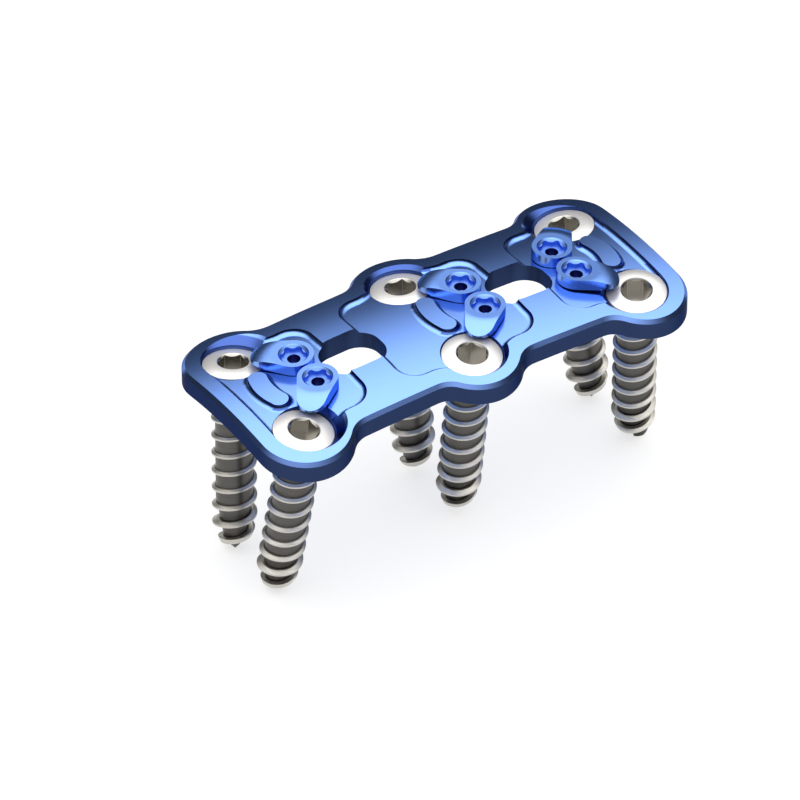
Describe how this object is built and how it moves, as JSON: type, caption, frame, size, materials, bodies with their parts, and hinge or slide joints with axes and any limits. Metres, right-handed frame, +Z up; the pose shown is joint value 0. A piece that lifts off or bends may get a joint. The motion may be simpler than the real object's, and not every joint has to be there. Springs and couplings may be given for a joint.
{
  "type": "orthopedic bone plate",
  "caption": "Curved titanium bone plate for the front of the neck, held by coarse-threaded hex-socket screws, with teardrop cams that turn over the screw heads and open graft windows.",
  "frame": {"origin": "centre of the footprint, on the surface that the tips of the end screws stand on", "axes": "+X along the plate from the cranial to the caudal end, +Y to the patient's left, +Z up out of the plate's outer face"},
  "size_m": [0.044, 0.0202, 0.0207],
  "materials": {
    "blue_plate": "satin anodised",
    "blue_cam": "satin anodised",
    "grey_screw": "machined"
  },
  "bodies": {
    "plate": {"plate": "blue_plate"},
    "bone_screw_cranial_left": {"bone_screw_cranial_left": "grey_screw"},
    "bone_screw_cranial_right": {"bone_screw_cranial_right": "grey_screw"},
    "bone_screw_middle_left": {"bone_screw_middle_left": "grey_screw"},
    "bone_screw_middle_right": {"bone_screw_middle_right": "grey_screw"},
    "bone_screw_caudal_left": {"bone_screw_caudal_left": "grey_screw"},
    "bone_screw_caudal_right": {"bone_screw_caudal_right": "grey_screw"},
    "locking_cam_cranial_left": {"locking_cam_cranial_left": "blue_cam"},
    "locking_cam_cranial_right": {"locking_cam_cranial_right": "blue_cam"},
    "locking_cam_middle_left": {"locking_cam_middle_left": "blue_cam"},
    "locking_cam_middle_right": {"locking_cam_middle_right": "blue_cam"},
    "locking_cam_caudal_left": {"locking_cam_caudal_left": "blue_cam"},
    "locking_cam_caudal_right": {"locking_cam_caudal_right": "blue_cam"}
  },
  "joints": [
    {"name": "screw_turn_cranial_left", "type": "hinge", "parent": "plate", "child": "bone_screw_cranial_left", "pos_m": [-0.0175, 0.00562, 0.01857], "axis": [0.0877, 0.1274, 0.988], "continuous": true},
    {"name": "screw_turn_cranial_right", "type": "hinge", "parent": "plate", "child": "bone_screw_cranial_right", "pos_m": [-0.0175, -0.00562, 0.01857], "axis": [0.0877, -0.1274, 0.988], "continuous": true},
    {"name": "screw_turn_middle_left", "type": "hinge", "parent": "plate", "child": "bone_screw_middle_left", "pos_m": [0, 0.00562, 0.01918], "axis": [0, 0.1279, 0.9918], "continuous": true},
    {"name": "screw_turn_middle_right", "type": "hinge", "parent": "plate", "child": "bone_screw_middle_right", "pos_m": [0, -0.00562, 0.01918], "axis": [0, -0.1279, 0.9918], "continuous": true},
    {"name": "screw_turn_caudal_left", "type": "hinge", "parent": "plate", "child": "bone_screw_caudal_left", "pos_m": [0.0175, 0.00562, 0.01857], "axis": [-0.0877, 0.1274, 0.988], "continuous": true},
    {"name": "screw_turn_caudal_right", "type": "hinge", "parent": "plate", "child": "bone_screw_caudal_right", "pos_m": [0.0175, -0.00562, 0.01857], "axis": [-0.0877, -0.1274, 0.988], "continuous": true},
    {"name": "cam_turn_cranial_left", "type": "hinge", "parent": "plate", "child": "locking_cam_cranial_left", "pos_m": [-0.0136, 0.00191, 0.01969], "axis": [0.0533, 0, -0.9986], "range_deg": [0, 90]},
    {"name": "cam_turn_cranial_right", "type": "hinge", "parent": "plate", "child": "locking_cam_cranial_right", "pos_m": [-0.0136, -0.00191, 0.01969], "axis": [-0.0533, 0, 0.9986], "range_deg": [0, 90]},
    {"name": "cam_turn_middle_left", "type": "hinge", "parent": "plate", "child": "locking_cam_middle_left", "pos_m": [0.0039, 0.00191, 0.02002], "axis": [-0.0153, 0, -0.9999], "range_deg": [0, 90]},
    {"name": "cam_turn_middle_right", "type": "hinge", "parent": "plate", "child": "locking_cam_middle_right", "pos_m": [0.0039, -0.00191, 0.02002], "axis": [0.0153, 0, 0.9999], "range_deg": [0, 90]},
    {"name": "cam_turn_caudal_left", "type": "hinge", "parent": "plate", "child": "locking_cam_caudal_left", "pos_m": [0.0136, 0.00191, 0.01969], "axis": [0.0533, 0, 0.9986], "range_deg": [0, 90]},
    {"name": "cam_turn_caudal_right", "type": "hinge", "parent": "plate", "child": "locking_cam_caudal_right", "pos_m": [0.0136, -0.00191, 0.01969], "axis": [-0.0533, 0, -0.9986], "range_deg": [0, 90]}
  ]
}
